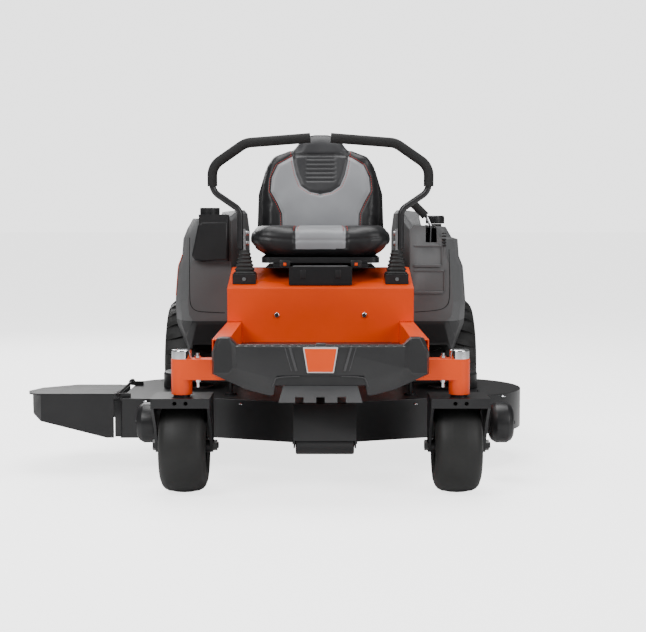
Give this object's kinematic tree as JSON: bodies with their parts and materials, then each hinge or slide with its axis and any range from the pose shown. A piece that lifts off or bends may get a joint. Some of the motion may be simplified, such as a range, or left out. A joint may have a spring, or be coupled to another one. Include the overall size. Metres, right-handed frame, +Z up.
{
  "type": "zero turn mower",
  "caption": "Ride-on lawn mower steered by lap bars, with a high-backed seat, swivelling front casters, large rear drive wheels and a side-discharge cutting deck.",
  "frame": {"origin": "centre of the bounding box's footprint, on the ground", "axes": "+X to the operator's left, +Y to the rear, +Z up; the front faces -Y"},
  "size_m": [1.636, 1.93, 1.1396],
  "materials": {
    "painted_orange": "gloss powder coat",
    "black_steel": "semi-gloss powder coat",
    "grey_plastic": "fine grain",
    "black_plastic": "fine grain",
    "black_paint": "satin",
    "chrome": "polished",
    "bright_steel": "brushed",
    "tyre": "moulded",
    "black_rubber": "matt",
    "foam_grip": "closed-cell foam",
    "seat_vinyl": "grained vinyl",
    "engine_cast": "cast",
    "bronze": "sintered",
    "red_plastic": "gloss",
    "belt_rubber": "woven cover"
  },
  "bodies": {
    "frame": {"main_frame": "painted_orange", "front_axle_beam": "painted_orange", "caster_caps": "chrome", "caster_bushes": "bronze", "floor_pan": "black_steel", "front_bumper": "black_plastic", "front_step": "bright_steel", "body_panel": "painted_orange", "bright_bolts": "chrome", "fender_left": "grey_plastic", "fender_right": "grey_plastic", "fuel_tank": "black_plastic", "control_console": "black_plastic", "lever_brackets": "black_steel", "transaxles": "engine_cast", "engine_block": "engine_cast", "engine_covers": "black_plastic", "muffler": "black_paint", "rear_guard": "black_steel", "hitch_plate": "black_steel", "battery": "black_plastic", "seat_hinge_bracket": "black_steel", "lever_bases": "black_plastic", "lever_boots": "black_rubber"},
    "seat_base": {"seat_plate": "black_steel"},
    "seat": {"seat_shell": "black_plastic", "seat_cushion": "seat_vinyl", "seat_backrest": "seat_vinyl"},
    "deck": {"deck_shell": "black_steel", "spindle_housings": "engine_cast", "belt_covers": "black_plastic", "deck_brackets": "black_steel", "deck_belt": "belt_rubber"},
    "chute": {"chute_deflector": "black_plastic"},
    "crank": {"crank_pulley": "black_paint"},
    "lift": {"lift_lever": "chrome"},
    "switch": {"blade_switch_knob": "red_plastic"},
    "cap": {"fuel_cap": "black_plastic"},
    "nose_wheel": {"nose_roller": "black_plastic"},
    "caster_left": {"caster_fork_left": "black_steel"},
    "caster_wheel_left": {"caster_hub_left": "black_paint", "caster_tyre_left": "tyre"},
    "drive_left": {"drive_wheel_left": "black_paint", "drive_tyre_left": "tyre"},
    "lever_pivot_left": {"drive_pivot_left": "black_steel"},
    "lever_left": {"control_lever_left": "black_paint", "lap_grip_left": "foam_grip"},
    "roller_left": {"scalp_roller_left": "black_plastic"},
    "caster_right": {"caster_fork_right": "black_steel"},
    "caster_wheel_right": {"caster_hub_right": "black_paint", "caster_tyre_right": "tyre"},
    "drive_right": {"drive_wheel_right": "black_paint", "drive_tyre_right": "tyre"},
    "lever_pivot_right": {"drive_pivot_right": "black_steel"},
    "lever_right": {"control_lever_right": "black_paint", "lap_grip_right": "foam_grip"},
    "roller_right": {"scalp_roller_right": "black_plastic"},
    "blade_centre": {"blade_spindle_centre": "bright_steel"},
    "blade_left": {"blade_spindle_left": "bright_steel"},
    "blade_right": {"blade_spindle_right": "bright_steel"}
  },
  "joints": [
    {"name": "caster_swivel_left", "type": "hinge", "parent": "frame", "child": "caster_left", "pos_m": [0.541, -0.85, 0.355], "axis": [0, 0, 1], "continuous": true},
    {"name": "caster_spin_left", "type": "hinge", "parent": "caster_left", "child": "caster_wheel_left", "pos_m": [0.541, -0.775, 0.14], "axis": [1, 0, 0], "continuous": true},
    {"name": "drive_spin_left", "type": "hinge", "parent": "frame", "child": "drive_left", "pos_m": [0.595, 0.475, 0.254], "axis": [1, 0, 0], "continuous": true},
    {"name": "caster_swivel_right", "type": "hinge", "parent": "frame", "child": "caster_right", "pos_m": [-0.267, -0.85, 0.355], "axis": [0, 0, 1], "continuous": true},
    {"name": "caster_spin_right", "type": "hinge", "parent": "caster_right", "child": "caster_wheel_right", "pos_m": [-0.267, -0.775, 0.14], "axis": [1, 0, 0], "continuous": true},
    {"name": "drive_spin_right", "type": "hinge", "parent": "frame", "child": "drive_right", "pos_m": [-0.321, 0.475, 0.254], "axis": [1, 0, 0], "continuous": true},
    {"name": "lever_drive_left", "type": "hinge", "parent": "frame", "child": "lever_pivot_left", "pos_m": [0.399, -0.085, 0.56], "axis": [1, 0, 0], "range_deg": [-10, 18], "deforming": ["lever_boots"]},
    {"name": "lever_swing_left", "type": "hinge", "parent": "lever_pivot_left", "child": "lever_left", "pos_m": [0.399, -0.085, 0.56], "axis": [0, 1, 0], "range_deg": [0, 20], "deforming": ["lever_boots"]},
    {"name": "lever_drive_right", "type": "hinge", "parent": "frame", "child": "lever_pivot_right", "pos_m": [-0.125, -0.085, 0.56], "axis": [1, 0, 0], "range_deg": [-10, 18], "deforming": ["lever_boots"]},
    {"name": "lever_swing_right", "type": "hinge", "parent": "lever_pivot_right", "child": "lever_right", "pos_m": [-0.125, -0.085, 0.56], "axis": [0, -1, 0], "range_deg": [0, 20], "deforming": ["lever_boots"]},
    {"name": "seat_tilt", "type": "hinge", "parent": "frame", "child": "seat_base", "pos_m": [0.137, -0.12, 0.642], "axis": [1, 0, 0], "range_deg": [0, 28]},
    {"name": "seat_slide", "type": "slide", "parent": "seat_base", "child": "seat", "axis": [0, 1, 0], "range_m": [-0.06, 0.06]},
    {"name": "deck_lift", "type": "slide", "parent": "frame", "child": "deck", "axis": [0, 0, 1], "range_m": [-0.064, 0], "deforming": ["deck_belt"]},
    {"name": "lift_rock", "type": "hinge", "parent": "frame", "child": "lift", "pos_m": [0.535, 0.15, 0.69], "axis": [-1, 0, 0], "range_deg": [0, 16]},
    {"name": "chute_fold", "type": "hinge", "parent": "deck", "child": "chute", "pos_m": [-0.516, -0.288, 0.247], "axis": [0, 1, 0], "range_deg": [0, 80]},
    {"name": "crank_spin", "type": "hinge", "parent": "frame", "child": "crank", "pos_m": [0.137, 0.725, 0.4], "axis": [0, 0, 1], "continuous": true},
    {"name": "blade_spin_centre", "type": "hinge", "parent": "deck", "child": "blade_centre", "pos_m": [0.137, -0.325, 0.2], "axis": [0, 0, 1], "continuous": true},
    {"name": "blade_spin_left", "type": "hinge", "parent": "deck", "child": "blade_left", "pos_m": [0.567, -0.165, 0.2], "axis": [0, 0, 1], "continuous": true},
    {"name": "blade_spin_right", "type": "hinge", "parent": "deck", "child": "blade_right", "pos_m": [-0.293, -0.165, 0.2], "axis": [0, 0, 1], "continuous": true},
    {"name": "roller_spin_left", "type": "hinge", "parent": "deck", "child": "roller_left", "pos_m": [0.703, -0.555, 0.174], "axis": [1, 0, 0], "continuous": true},
    {"name": "roller_spin_right", "type": "hinge", "parent": "deck", "child": "roller_right", "pos_m": [-0.399, -0.555, 0.174], "axis": [1, 0, 0], "continuous": true},
    {"name": "roller_spin_nose", "type": "hinge", "parent": "deck", "child": "nose_wheel", "pos_m": [0.15, -0.727, 0.14], "axis": [1, 0, 0], "continuous": true},
    {"name": "switch_pull", "type": "slide", "parent": "frame", "child": "switch", "axis": [0, 0, 1], "range_m": [0, 0.008]},
    {"name": "fuel_cap_turn", "type": "hinge", "parent": "frame", "child": "cap", "pos_m": [0.565, 0.305, 0.8], "axis": [0, 0, 1], "range_deg": [0, 120]}
  ],
  "couplings": [
    {"joint": "crank_spin", "follows": "blade_spin_centre", "ratio": 1.0286},
    {"joint": "blade_spin_left", "follows": "blade_spin_centre", "ratio": 1},
    {"joint": "blade_spin_right", "follows": "blade_spin_centre", "ratio": 1},
    {"joint": "lift_rock", "follows": "deck_lift", "rad_per_m": -4.3633}
  ]
}
